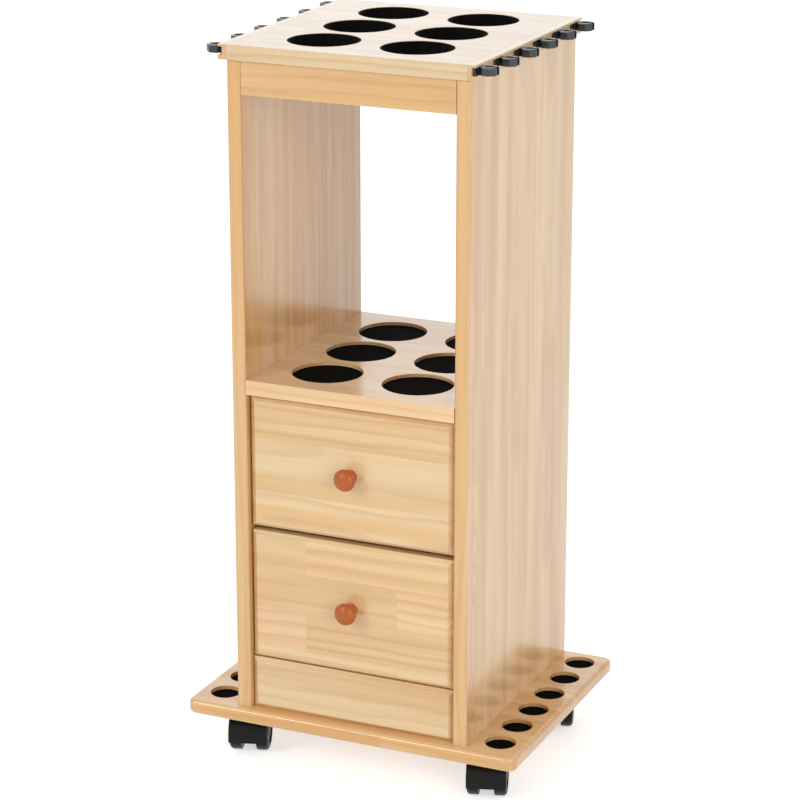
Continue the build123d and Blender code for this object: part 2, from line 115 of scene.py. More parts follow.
@contextmanager
def editing(piece: bpy.types.Object, mode: str) -> Iterator[bmesh.types.BMesh]:
    """Edit one piece with nothing selected in it.

    Args:
        piece: The mesh object to edit.
        mode: VERT, EDGE or FACE.

    Yields:
        The edit mesh, in which elements can be selected before an operator runs.
    """
    hold(piece)
    bpy.ops.object.mode_set(mode="EDIT")
    bpy.ops.mesh.select_mode(type=mode)
    bpy.ops.mesh.select_all(action="DESELECT")
    yield bmesh.from_edit_mesh(piece.data)
    bpy.ops.object.mode_set(mode="OBJECT")


def settle(piece: bpy.types.Object) -> bpy.types.Object:
    """Move the piece's place, turn and scale into its mesh."""
    hold(piece)
    bpy.ops.object.transform_apply(location=True, rotation=True, scale=True)
    return piece


def block(name: str, low: Vector, high: Vector) -> bpy.types.Object:
    """Add a cuboid between two corners.

    Args:
        name: The piece's name.
        low: Its lowest corner.
        high: Its highest corner.

    Returns:
        The piece, with its place in its mesh.
    """
    deselect()
    bpy.ops.mesh.primitive_cube_add(size=1, location=(low + high) / 2)
    piece = bpy.context.object
    piece.name = name
    piece.scale = high - low
    return settle(piece)


def drum(name: str, centre: Point, radius: float, depth: float, sides: int = 96,
         turn: float = 0.0) -> bpy.types.Object:
    """Add an upright cylinder.

    Args:
        name: The piece's name.
        centre: The middle of the cylinder.
        radius: Its radius, to its corners.
        depth: Its height.
        sides: How many sides it has.
        turn: Its turn about its axis, in radians.

    Returns:
        The piece, with its place in its mesh.
    """
    deselect()
    bpy.ops.mesh.primitive_cylinder_add(vertices=sides, radius=radius, depth=depth, location=centre,
                                        rotation=(0, 0, turn))
    bpy.context.object.name = name
    return settle(bpy.context.object)


def round_edges(piece: bpy.types.Object, chosen: Callable[[Vector, Vector], bool], radius: float,
                segments: int) -> None:
    """Round the edges that a test picks.

    Args:
        piece: The mesh object.
        chosen: Takes an edge's middle and its direction, and says whether it is rounded.
        radius: The round-over.
        segments: How many facets it has.
    """
    with editing(piece, "EDGE") as mesh:
        for edge in mesh.edges:
            first, last = (vertex.co for vertex in edge.verts)
            edge.select_set(chosen((first + last) / 2, (last - first).normalized()))
        bpy.ops.mesh.bevel(offset=radius, segments=segments, affect="EDGES")


def work(piece: bpy.types.Object, kind: str, **settings: object) -> None:
    """Add a modifier and apply it.

    Args:
        piece: The mesh object.
        kind: The modifier's type.
        settings: Its properties.
    """
    hold(piece)
    modifier = piece.modifiers.new(kind.lower(), kind)
    for key, value in settings.items():
        setattr(modifier, key, value)
    bpy.ops.object.modifier_apply(modifier=modifier.name)


def combine(piece: bpy.types.Object, others: list[bpy.types.Object], operation: str) -> None:
    """Cut other solids out of a piece, or add them to it, and remove them.

    Args:
        piece: The mesh object that is kept.
        others: The solids to cut or add.
        operation: DIFFERENCE or UNION.
    """
    for other in others:
        work(piece, "BOOLEAN", object=other, operation=operation, solver="EXACT")
        bpy.data.objects.remove(other)


def soften(piece: bpy.types.Object, arris: float, segments: int = 2, sharp: float = 40.0) -> bpy.types.Object:
    """Break the sharp edges of a piece and smooth its shading.

    Args:
        piece: The mesh object.
        arris: How wide the broken edge is, in metres. Nothing is broken at 0.
        segments: How many facets it has.
        sharp: The least angle of an edge that is broken, in degrees.

    Returns:
        The piece.
    """
    if arris:
        work(piece, "BEVEL", width=arris, segments=segments, limit_method="ANGLE",
             angle_limit=math.radians(sharp), use_clamp_overlap=True)
    hold(piece)
    bpy.ops.object.shade_smooth_by_angle(angle=math.radians(sharp))
    work(piece, "WEIGHTED_NORMAL", keep_sharp=True)
    return piece


def arc(centre: tuple[float, float], radii: tuple[float, float], start: float, end: float,
        steps: int) -> list[tuple[float, float]]:
    """Points along an elliptical arc, both ends included.

    Args:
        centre: The arc's centre.
        radii: Its two half axes.
        start: The first angle, in degrees.
        end: The last angle, in degrees.
        steps: How many steps it is drawn in.

    Returns:
        The points, in order.
    """
    angles = [math.radians(start + (end - start) * step / steps) for step in range(steps + 1)]
    return [(centre[0] + radii[0] * math.cos(a), centre[1] + radii[1] * math.sin(a)) for a in angles]


def turned(name: str, outline: list[tuple[float, float]], base: Vector, axis: Vector,
           steps: int = 64) -> bpy.types.Object:
    """Turn an outline about an axis, as on a lathe.

    Args:
        name: The piece's name.
        outline: Points as (radius, distance along the axis), in metres. A ring's outline comes back to
            its first point.
        base: Where distance zero lies on the axis.
        axis: The axis's direction.
        steps: How many steps the turn takes.

    Returns:
        The piece, closed, with its normals outward.
    """
    side = axis.orthogonal().normalized()
    points = [base + side * radius + axis * along for radius, along in outline]
    deselect()
    bpy.ops.mesh.primitive_plane_add(size=TINY, location=(0, 0, 0))
    piece = bpy.context.object
    piece.name = name
    with editing(piece, "VERT"):
        bpy.ops.mesh.select_all(action="SELECT")
        bpy.ops.mesh.merge(type="CENTER")
        bpy.ops.transform.translate(value=points[0])
        for last, following in zip(points, points[1:]):
            bpy.ops.mesh.extrude_region_move(TRANSFORM_OT_translate={"value": following - last})
        bpy.ops.mesh.select_all(action="SELECT")
        bpy.ops.mesh.spin(steps=steps, angle=math.tau, center=base, axis=axis)
        bpy.ops.mesh.select_all(action="SELECT")
        bpy.ops.mesh.remove_doubles(threshold=TINY / 10)
        bpy.ops.mesh.normals_make_consistent(inside=False)
    return settle(piece)


def copy_to(piece: bpy.types.Object, name: str, place: Matrix) -> bpy.types.Object:
    """Copy a piece, with its own mesh, to another place.

    Args:
        piece: The mesh object to copy.
        name: The copy's name.
        place: The move and turn from the first piece to the copy.

    Returns:
        The copy.
    """
    made = bpy.data.objects.new(name, piece.data.copy())
    made.data.transform(place)
    bpy.context.scene.collection.objects.link(made)
    return made


def merged_copy(node: str, name: str) -> bpy.types.Object:
    """Copy a node of the frame as one closed, clean mesh.

    Args:
        node: The frame's node.
        name: The copy's name.

    Returns:
        The copy, its loose triangles merged and its flat faces joined.
    """
    made = copy_to(bpy.data.objects[node], name, Matrix.Identity(4))
    with editing(made, "VERT"):
        bpy.ops.mesh.select_all(action="SELECT")
        bpy.ops.mesh.remove_doubles(threshold=TINY)
        bpy.ops.mesh.dissolve_limited(angle_limit=math.radians(0.5))
        bpy.ops.mesh.select_all(action="SELECT")
        bpy.ops.mesh.normals_make_consistent(inside=False)
    return made


# ---------------------------------------------------------------- finishes

BLACK = (0, 0, 0, 1)
GREY = (0.5, 0.5, 0.5, 1)
WHITE = (1, 1, 1, 1)

# The wood's figure: the size of its grains along, across and through a board, in millimetres.
BAND_GRAIN = (620.0, 26.0, 26.0)    # pale and honey bands
BLUSH_GRAIN = (420.0, 48.0, 48.0)   # rosy patches
WANDER_GRAIN = (260.0, 60.0, 60.0)  # the rings' wandering
STREAK_GRAIN = (240.0, 5.0, 5.0)
FIBRE_GRAIN = (34.0, 0.9, 0.9)      # coarser than real fibres, so that they show
FIBRE_RELIEF = 0.05 * MM
RING_RISE = (0.35, 0.86)            # shares of a ring between which its late wood darkens
RING_FALL = (1.0, 0.88)             # shares between which it ends
CHANCE_SPREAD = 40.0                # moves a stave's noise well away from its neighbour's
OTHER_CHANCES = (61.7, 117.3)       # each turns a stave's own chance into another

# A clear glossy film over the wood, and bare planed wood.
LACQUER = {"Roughness": 0.45, "IOR": 1.45, "Coat Weight": 1.0, "Coat Roughness": 0.14, "Coat IOR": 1.52}
BARE_WOOD = {"Roughness": 0.62, "IOR": 1.5}


def linear(colour: str) -> tuple[float, float, float, float]:
    """An sRGB hex colour as linear red, green, blue and alpha."""
    shares = [int(colour[place:place + 2], 16) / 255 for place in (1, 3, 5)]
    return (*(s / 12.92 if s <= 0.04045 else ((s + 0.055) / 1.055) ** 2.4 for s in shares), 1.0)


def add_node(tree: bpy.types.NodeTree, kind: str, inputs: dict | None = None,
             **settings: object) -> bpy.types.Node:
    """Add a node to a tree.

    Args:
        tree: The material's or world's nodes.
        kind: The node's type, without ShaderNode before it.
        inputs: What each input takes, by its name or number: a value, another node's output, or a node,
            which stands for its first output.
        settings: The node's properties.

    Returns:
        The node.
    """
    node = tree.nodes.new(f"ShaderNode{kind}")
    for key, value in settings.items():
        setattr(node, key, value)
    for key, source in (inputs or {}).items():
        if isinstance(source, bpy.types.Node):
            source = source.outputs[0]
        if isinstance(source, bpy.types.NodeSocket):
            tree.links.new(source, node.inputs[key])
        else:
            node.inputs[key].default_value = source
    return node


def blank(name: str) -> tuple[bpy.types.Material, bpy.types.NodeTree]:
    """A new material with an empty node tree."""
    material = bpy.data.materials.new(name)
    material.use_nodes = True
    material.node_tree.nodes.clear()
    return material, material.node_tree


def millimetres(tree: bpy.types.NodeTree) -> bpy.types.Node:
    """The piece's own coordinates, in millimetres."""
    place = add_node(tree, "TexCoord").outputs["Object"]
    return add_node(tree, "VectorMath", {0: place, "Scale": 1 / MM}, operation="SCALE")


class Lay(Enum):
    """How a board lies: the axis numbers along its grain, across its staves and through its thickness."""

    UPRIGHT = (2, 1, 0)
    FRONT = (0, 2, 1)
    FLAT = (0, 1, 2)
    FRONT_TO_BACK = (1, 2, 0)


@dataclass
class Staves:
    """Where a point lies in a board of glued staves, in millimetres, and each stave's own chances."""

    tree: bpy.types.NodeTree
    along: Source
    across: Source
    through: Source
    within: Source                              # across one stave, from its middle
    joint: Source                               # 1 in the glue line between two staves
    chance: Source
    second: Source
    third: Source

    def cloud(self, grain: Point, chance: Source, detail: float = 3.0) -> Source:
        """Noise that differs from stave to stave.

        Args:
            grain: The size of its grains along, across and through the board.
            chance: The stave's chance that sets it apart.
            detail: How many finer layers it has.

        Returns:
            The noise, from 0 to 1.
        """
        return self.noise((self.along, self.across, self.through), grain, chance, detail)

    def noise(self, place: tuple[Source, Source, Source], grain: Point, chance: Source,
              detail: float) -> Source:
        """The same noise at another place, given along, across and through the board."""
        add = partial(add_node, self.tree)
        point = add("CombineXYZ", dict(enumerate(place)))
        shrunk = add("VectorMath", {0: point, 1: grain}, operation="DIVIDE")
        apart = add("Math", {0: chance, 1: CHANCE_SPREAD}, operation="MULTIPLY")
        return add("TexNoise", {"Vector": shrunk, "W": apart, "Scale": 1.0, "Detail": detail},
                   noise_dimensions="4D")


@dataclass(frozen=True)
class Pine:
    """Radiata pine in glued staves, planed. Pale and low in contrast, with wide soft growth rings.

    Lacquered pine has a clear, level, glossy film over it, which darkens it to honey. Lengths are
    millimetres.
    """

    name: str
    lay: Lay
    stave_width: float = 62.0
    stave_length: float = 4000.0
    start: tuple[float, float] = (600.0, 0.0)   # from a stave's corner to the origin, along and across
    seed: int = 0
    pale: str = "#E8CC9C"
    honey: str = "#DDB47A"
    rosy: str = "#E0B68C"
    late: str = "#C08A55"                       # the rings' darker wood
    edge: str = "#D9AA68"                       # what the sawn edges lean to
    end: str = "#C48B50"                        # what the end grain leans to
    edge_share: float = 0.0
    end_share: float = 0.45
    ring: float = 11.0
    ring_strength: float = 0.36
    warp: float = 12.0                          # how far the rings wander
    pith_aside: float = 60.0                    # the rings' middle lies up to this far to one side,
    pith_depth: tuple[float, float] = (32.0, 127.0)     # and between these depths from the board's middle
    oval: tuple[float, float] | None = None     # middle of an oval figure, along and across
    oval_reach: tuple[float, float] = (120.0, 15.0)
    oval_rings: float = 3.4
    oval_strength: float = 0.45
    stave_change: float = 0.09                  # brightness from stave to stave
    fibre_change: float = 0.13
    streak_change: float = 0.14
    joint_shade: float = 0.16                   # how much darker a glue line is
    lacquered: bool = True

    def material(self) -> bpy.types.Material:
        """Build the material."""
        material, tree = blank(self.name)
        add = partial(add_node, tree)
        staves = self.staves(tree)
        fibres = staves.cloud(FIBRE_GRAIN, staves.chance)
        wood = self.cut_faces(tree, self.colour(staves))
        shaded = add("VectorMath", {0: wood, "Scale": self.tone(staves, fibres)}, operation="SCALE")
        bump = add("Bump", {"Strength": 0.12 if self.lacquered else 0.35, "Distance": FIBRE_RELIEF,
                            "Height": fibres})
        film = LACQUER if self.lacquered else BARE_WOOD
        shader = add("BsdfPrincipled", {**film, "Base Color": shaded, "Normal": bump})
        add("OutputMaterial", {"Surface": shader})
        return material

    def staves(self, tree: bpy.types.NodeTree) -> Staves:
        """Lay the staves: long bricks in the board's plane, each of a random shade of grey."""
        add = partial(add_node, tree)
        axes = add("SeparateXYZ", {0: millimetres(tree)}).outputs
        along, across, through = (axes[number] for number in self.lay.value)
        offset = self.start[1] + self.seed * 2 * self.stave_width
        plan_x = add("Math", {0: along, 1: self.start[0]}, operation="ADD")
        plan_y = add("Math", {0: across, 1: offset}, operation="ADD")
        plan = add("CombineXYZ", {0: plan_x, 1: plan_y})
        bricks = add("TexBrick", {
            0: plan, "Color1": BLACK, "Color2": WHITE, "Mortar": GREY, "Scale": 1.0, "Mortar Size": 0.12,
            "Mortar Smooth": 0.3, "Bias": 0.0, "Brick Width": self.stave_length,
            "Row Height": self.stave_width}, offset=0.37, offset_frequency=2)
        chance = add("Math", {0: bricks.outputs["Color"], 1: 1.0}, operation="MULTIPLY")
        others = []
        for spread in OTHER_CHANCES:
            spun = add("Math", {0: chance, 1: spread}, operation="MULTIPLY")
            others.append(add("TexWhiteNoise", {"W": spun}, noise_dimensions="1D"))
        row = add("Math", {0: plan_y, 1: self.stave_width}, operation="DIVIDE")
        share = add("Math", {0: row}, operation="FRACT")
        within = add("Math", {0: share, 1: self.stave_width, 2: -self.stave_width / 2},
                     operation="MULTIPLY_ADD")
        return Staves(tree, along, across, through, within, bricks.outputs["Fac"], chance, *others)

    def colour(self, staves: Staves) -> Source:
        """Pale to honey bands, a rosy blush and the darker lines of the rings."""
        add = partial(add_node, staves.tree)
        bands = staves.cloud(BAND_GRAIN, staves.chance)
        bands = add("MapRange", {0: bands, "From Min": 0.34, "From Max": 0.66},
                    interpolation_type="SMOOTHSTEP")
        blush = staves.cloud(BLUSH_GRAIN, staves.third, 2.0)
        blush = add("MapRange", {0: blush, "From Min": 0.40, "From Max": 0.75},
                    interpolation_type="SMOOTHSTEP")
        blushing = add("Math", {0: staves.second, 1: 0.7, 2: 0.1}, operation="MULTIPLY_ADD")
        rosy_share = add("Math", {0: blush, 1: blushing}, operation="MULTIPLY")
        line, strength = self.rings(staves)
        late_share = add("Math", {0: line, 1: strength}, operation="MULTIPLY")
        wood = linear(self.pale)
        for share, stain in ((bands, self.honey), (rosy_share, self.rosy), (late_share, self.late)):
            wood = add("Mix", {0: share, 6: wood, 7: linear(stain)}, data_type="RGBA").outputs[2]
        return wood

    def rings(self, staves: Staves) -> tuple[Source, Source]:
        """The growth rings about a pith below the board: their late wood's line, and how strong it shows."""
        add = partial(add_node, staves.tree)
        swing = add("Math", {0: staves.second, 1: 2 * self.pith_aside, 2: -self.pith_aside},
                    operation="MULTIPLY_ADD")
        aside = add("Math", {0: staves.within, 1: swing}, operation="ADD")
        least, most = self.pith_depth
        sunk = add("Math", {0: staves.third, 1: most - least, 2: least}, operation="MULTIPLY_ADD")
        deep = add("Math", {0: staves.through, 1: sunk}, operation="ADD")
        wander = staves.noise((staves.along, aside, deep), WANDER_GRAIN, staves.chance, 2.0)
        shift = add("Math", {0: wander, 1: 2 * self.warp, 2: -self.warp}, operation="MULTIPLY_ADD")
        pith = add("CombineXYZ", {0: aside, 1: deep})
        radius = add("VectorMath", {0: pith}, operation="LENGTH").outputs["Value"]
        drift = add("Math", {0: radius, 1: shift}, operation="ADD")
        strength = add("Math", {0: staves.third, 1: self.ring_strength * 0.8, 2: self.ring_strength * 0.35},
                       operation="MULTIPLY_ADD")
        if self.oval:
            hill = self.hill(staves)
            drift = add("Math", {0: hill, 1: self.oval_rings * self.ring, 2: drift},
                        operation="MULTIPLY_ADD")
            strength = add("Math", {0: hill, 1: self.oval_strength, 2: strength}, operation="MULTIPLY_ADD")
        phase = add("Math", {0: drift, 1: self.ring}, operation="DIVIDE")
        cycle = add("Math", {0: phase}, operation="FRACT")
        rise, fall = (add("MapRange", {0: cycle, "From Min": bottom, "From Max": top},
                          interpolation_type="SMOOTHSTEP") for bottom, top in (RING_RISE, RING_FALL))
        return add("Math", {0: rise, 1: fall}, operation="MULTIPLY"), strength

    def hill(self, staves: Staves) -> Source:
        """A smooth hill. Added to the rings' phase, it draws nested ovals round its top."""
        add = partial(add_node, staves.tree)
        squares = []
        for source, middle, reach in zip((staves.along, staves.across), self.oval, self.oval_reach):
            share = add("Math", {0: source, 1: 1 / reach, 2: -middle / reach}, operation="MULTIPLY_ADD")
            squares.append(add("Math", {0: share, 1: share}, operation="MULTIPLY"))
        total = add("Math", {0: squares[0], 1: squares[1]}, operation="ADD")
        fall = add("Math", {0: total, 1: -1.0}, operation="MULTIPLY")
        return add("Math", {0: fall}, operation="EXPONENT")

    def cut_faces(self, tree: bpy.types.NodeTree, wood: Source) -> Source:
        """Lean the sawn edges and the end grain to their own tones, by which way a face looks."""
        add = partial(add_node, tree)
        parts = add("SeparateXYZ", {0: add("TexCoord").outputs["Normal"]}).outputs
        along, across, _ = self.lay.value
        for axis, amount, stain in ((across, self.edge_share, self.edge), (along, self.end_share, self.end)):
            if amount:
                size = add("Math", {0: parts[axis]}, operation="ABSOLUTE")
                facing = add("MapRange", {0: size, "From Min": 0.25, "From Max": 0.85},
                             interpolation_type="SMOOTHSTEP")
                share = add("Math", {0: facing, 1: amount}, operation="MULTIPLY")
                wood = add("Mix", {0: share, 6: wood, 7: linear(stain)}, data_type="RGBA").outputs[2]
        return wood

    def tone(self, staves: Staves, fibres: Source) -> Source:
        """Brightness from stave to stave, in streaks and in fibres, with darker glue lines."""
        add = partial(add_node, staves.tree)
        streaks = staves.cloud(STREAK_GRAIN, staves.second)
        tone = add("Math", {0: staves.second, 1: self.stave_change, 2: 1 - self.stave_change / 2},
                   operation="MULTIPLY_ADD")
        for source, change in ((fibres, self.fibre_change), (streaks, self.streak_change)):
            level = add("Math", {0: tone, 1: change / 2}, operation="SUBTRACT")
            tone = add("Math", {0: source, 1: change, 2: level}, operation="MULTIPLY_ADD")
        joint = add("Math", {0: staves.joint, 1: -self.joint_shade, 2: 1.0}, operation="MULTIPLY_ADD")
        return add("Math", {0: tone, 1: joint}, operation="MULTIPLY")


@dataclass(frozen=True)
class Speckled:
    """A finish of one stuff: two near tones in fine specks, with a relief of the same grain.

    Lengths are millimetres.
    """

    name: str
    dark: str
    light: str
    speck: float                # size of the specks
    relief: float               # height of the relief
    roughness: float
    metallic: float = 0.0
    coat: float = 0.0
    specular: float = 0.5       # 0.5 is the usual share for the IOR
    stretch: Point = (1.0, 1.0, 1.0)

    def material(self) -> bpy.types.Material:
        """Build the material."""
        material, tree = blank(self.name)
        add = partial(add_node, tree)
        size = tuple(self.speck * share for share in self.stretch)
        place = add("VectorMath", {0: millimetres(tree), 1: size}, operation="DIVIDE")
        specks = add("TexNoise", {"Vector": place, "Scale": 1.0, "Detail": 3.0})
        share = add("MapRange", {0: specks, "From Min": 0.35, "From Max": 0.65})
        colour = add("Mix", {0: share, 6: linear(self.dark), 7: linear(self.light)}, data_type="RGBA")
        gloss = add("MapRange", {0: specks, "To Min": self.roughness * 0.88,
                                 "To Max": min(1.0, self.roughness * 1.12)})
        bump = add("Bump", {"Strength": 0.6, "Distance": self.relief * MM, "Height": specks})
        shader = add("BsdfPrincipled", {
            "Base Color": colour.outputs[2], "Metallic": self.metallic, "Roughness": gloss,
            "Specular IOR Level": self.specular, "Coat Weight": self.coat, "Coat Roughness": 0.28,
            "Normal": bump})
        add("OutputMaterial", {"Surface": shader})
        return material


@dataclass
class Finishes:
    """Every finish, built once."""

    made: dict[str, bpy.types.Material] = field(default_factory=dict)

    def take(self, recipe: Pine | Speckled) -> bpy.types.Material:
        """The material of a recipe, built the first time that it is asked for."""
        if recipe.name not in self.made:
            self.made[recipe.name] = recipe.material()
        return self.made[recipe.name]


# Needle felt: matted black fibres that take up nearly all light.
FELT = Speckled("black_needle_felt", "#040506", "#0B0C0D", 0.9, 0.25, 1.0, specular=0.1)
# Cellular rubber sheet, cut: fine open pores, dull.
RUBBER = Speckled("black_cellular_rubber", "#020303", "#060708", 0.7, 0.12, 0.9, specular=0.04)
# Nylon, moulded, dark grey: a fine spark texture under a satin skin.
NYLON = Speckled("grey_moulded_nylon", "#202325", "#2A2E31", 0.5, 0.02, 0.28, specular=0.6)
# Polypropylene, moulded, black: smooth and satin.
POLYPROPYLENE = Speckled("black_moulded_polypropylene", "#060707", "#0B0C0D", 0.6, 0.02, 0.36, specular=0.2)
# Zinc-plated steel: bright, slightly cloudy metal.
ZINC = Speckled("zinc_plated_steel", "#B9BCBC", "#D6D8D6", 1.6, 0.01, 0.27, metallic=1.0)
# Beech, turned, stained reddish brown and lacquered: short darker rays in a warm ground.
STAINED_BEECH = Speckled("stained_lacquered_beech", "#AA5419", "#BA6222", 1.3, 0.01, 0.35, coat=0.35,
                         specular=0.2, stretch=(1.0, 5.0, 1.0))
# Beech, planed and bare: pale pinkish brown with short rays.
BEECH = Speckled("planed_beech", "#C69A6B", "#D8B083", 1.1, 0.05, 0.6, stretch=(1.0, 6.0, 1.0))

SIDE = Pine("lacquered_pine_sides", Lay.UPRIGHT, 72.0, start=(600.0, 25.0), seed=3, pale="#E9C796",
            honey="#DAA96A", rosy="#DEB088", edge_share=0.35, ring=13.0, oval=(205.0, -134.0))
TOP = Pine("lacquered_pine_top", Lay.FLAT, 60.0, seed=8, pale="#DCC49A", honey="#D1AC76", rosy="#D2AE8A")
STRIP = Pine("lacquered_pine_strips", Lay.FRONT_TO_BACK, 40.0, seed=5)
RAIL = Pine("lacquered_pine_rails", Lay.FRONT, 90.0, start=(600.0, 20.0), seed=2, pale="#E2BE88",
            honey="#D5A868")
SHELF = Pine("lacquered_pine_shelf", Lay.FLAT, 66.0, seed=11, pale="#EED2A2", honey="#E4BC84")
BASE = Pine("lacquered_pine_base", Lay.FLAT, 52.0, 260.0, start=(119.0, 8.0), seed=14, pale="#E9C489",
            honey="#DCA45C", rosy="#DDAA7C")
KICK = Pine("lacquered_pine_kick", Lay.FRONT, 80.0, seed=21, honey="#D9AE76")
UPPER_FRONT = Pine("lacquered_pine_upper_front", Lay.FRONT, 67.0, start=(600.0, 43.0), seed=17)
LOWER_FRONT = Pine("lacquered_pine_lower_front", Lay.FRONT, 50.0, 190.0, start=(60.0, -10.0), seed=26,
                   stave_change=0.08)
BOX_PINE = Pine("planed_pine_drawer_boxes", Lay.FRONT_TO_BACK, 70.0, seed=31, pale="#E3CBA2", honey="#D8B685",
                lacquered=False)
PLYWOOD = Pine("birch_plywood", Lay.FLAT, 400.0, seed=40, pale="#DFC79D", honey="#D3B383", ring=14.0,
               ring_strength=0.3, warp=30.0, lacquered=False)


# ---------------------------------------------------------------- dressing

@dataclass
class Dresser:
    """Gives pieces their finish and their place in the frame."""

    frame: dict
    finishes: Finishes = field(default_factory=Finishes)

    def dress(self, piece: bpy.types.Object, recipe: Pine | Speckled, *nodes: str) -> bpy.types.Object:
        """Finish a new piece that stands for nodes of the frame.

        Args:
            piece: The new piece.
            recipe: Its finish.
            nodes: The nodes that it replaces; the first one gives its body.

        Returns:
            The piece.
        """
        piece.data.materials.clear()
        piece.data.materials.append(self.finishes.take(recipe))
        body = self.body_of(nodes[0])
        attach(piece, body)
        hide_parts(*nodes)
        log.info("%s: %s, on %s", piece.name, recipe.name, body)
        return piece

    def paint(self, node: str, recipe: Pine | Speckled) -> None:
        """Give a node of the frame, whose shape stays, a finish."""
        for slot in self.frame["nodes"][node].material_slots:
            slot.material = self.finishes.take(recipe)
        log.info("%s: %s, as in the frame", node, recipe.name)

    def body_of(self, node: str) -> str:
        """The body that a node belongs to."""
        bodies = self.frame["record"]["behaviour"]["bodies"]
        return next(body for body, members in bodies.items() if node in members)


@dataclass
class Pattern:
    """The regular places of holes and clips, in metres."""

    tube_columns: float = 118.0 * MM
    tube_rows: float = 97.5 * MM
    rest_rows: float = 95.0 * MM
    tube_radius: float = 43.0 * MM
    butt_pitch: float = 53.4 * MM
    butt_radius: float = 18.8 * MM

    @staticmethod
    def span(pitch: float, count: int) -> list[float]:
        """Evenly spaced places about zero."""
        return [(index - (count - 1) / 2) * pitch for index in range(count)]

    def tubes(self, middle: Vector, rows: float) -> list[Vector]:
        """Centres of the six tube holes or rests about a middle."""
        return [middle + Vector((x, y, 0)) for y in self.span(rows, 3)
                for x in self.span(self.tube_columns, 2)]

    def butts(self, node: str) -> list[Vector]:
        """Centres of the six butt rests down one side, from that side's pads."""
        low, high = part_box(node)
        middle = (low + high) / 2
        return [middle + Vector((0, y, 0)) for y in self.span(self.butt_pitch, 6)]


@dataclass
class Carcass:
    """The fixed boards: base plate, sides, top, clip rails, cross rails and shelf."""

    dresser: Dresser
    pattern: Pattern
    arris: float = 0.5 * MM
    top_arris: float = 0.4 * MM
    strip_arris: float = 0.3 * MM
    panel_round: float = 3.0 * MM
    base_corner: float = 11.0 * MM
    base_round: float = 5.0 * MM
    rest_depth: float = 5.5 * MM
    butt_depth: float = 6.0 * MM
    groove_gap: float = 0.1 * MM        # above and below the clips' bases

    def build(self) -> None:
        """Build every fixed board."""
        self.base_plate()
        for side, sign in SIDES:
            self.side_panel(side)
            self.clip_rail(side, sign)
        self.top_board()
        self.shelf()
        for node in ("front_rail", "back_rail"):
            rail = soften(block(f"{node}_board", *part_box(node)), self.arris)
            self.dresser.dress(rail, RAIL, node)
        self.dresser.paint("back_panel", PLYWOOD)
        self.dresser.paint("panel_dowels", BEECH)

    def base_plate(self) -> None:
        """The plate with rounded corners and rims and twelve blind rests."""
        low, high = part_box("base_plate")
        plate = block("base_plate_board", low, high)
        round_edges(plate, lambda middle, way: abs(way.z) > MOSTLY, self.base_corner, 8)
        round_edges(plate, lambda middle, way: min(abs(middle.z - low.z), abs(middle.z - high.z)) < TINY,
                    self.base_round, 6)
        radius, depth = self.pattern.butt_radius, 2 * self.butt_depth
        cutters = [drum("rest", (centre.x, centre.y, high.z), radius, depth, 72)
                   for side, _ in SIDES for centre in self.pattern.butts(f"{side}_butt_pads")]
        combine(plate, cutters, "DIFFERENCE")
        self.dresser.dress(soften(plate, self.arris), BASE, "base_plate")

    def side_panel(self, side: str) -> None:
        """A side panel, its front edges rounded over."""
        node = f"{side}_side_panel"
        low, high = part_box(node)
        panel = block(f"{side}_side_board", low, high)

        def front(middle: Vector, way: Vector) -> bool:
            """Whether an edge is one of the front's two upright edges, or its upper one."""
            upper = abs(way.x) > MOSTLY and abs(middle.z - high.z) < TINY
            return abs(middle.y - low.y) < TINY and (abs(way.z) > MOSTLY or upper)

        round_edges(panel, front, self.panel_round, 5)
        self.dresser.dress(soften(panel, self.arris), SIDE, node)

    def top_board(self) -> None:
        """The bored board between the clip rails."""
        low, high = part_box("top_board")
        board = block("top_board_panel", low, high)
        middle = sum(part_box("top_hole_liners"), Vector()) / 2
        cutters = [drum("hole", centre, self.pattern.tube_radius, 2 * (high.z - low.z))
                   for centre in self.pattern.tubes(middle, self.pattern.tube_rows)]
        combine(board, cutters, "DIFFERENCE")
        self.dresser.dress(soften(board, self.top_arris), TOP, "top_board")

    def clip_rail(self, side: str, sign: int) -> None:
        """A top board's end strip with the clips' groove."""
        node = f"{side}_clip_rail"
        low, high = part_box(node)
        strip = block(f"{side}_clip_strip", low, high)
        clips_low, clips_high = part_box(f"{side}_rod_clips")
        near = (clips_low.x, high.x + MM) if sign > 0 else (low.x - MM, clips_high.x)
        groove = block("groove", Vector((near[0], low.y - MM, clips_low.z - self.groove_gap)),
                       Vector((near[1], high.y + MM, clips_high.z + self.groove_gap)))
        combine(strip, [groove], "DIFFERENCE")
        self.dresser.dress(soften(strip, self.strip_arris), STRIP, node)

    def shelf(self) -> None:
        """The shelf with its six shallow tube rests."""
        low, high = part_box("shelf")
        board = block("shelf_board", low, high)
        middle = sum(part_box("shelf_pads"), Vector()) / 2
        middle.z = high.z
        cutters = [drum("rest", centre, self.pattern.tube_radius, 2 * self.rest_depth)
                   for centre in self.pattern.tubes(middle, self.pattern.rest_rows)]
        combine(board, cutters, "DIFFERENCE")
        self.dresser.dress(soften(board, self.arris), SHELF, "shelf")


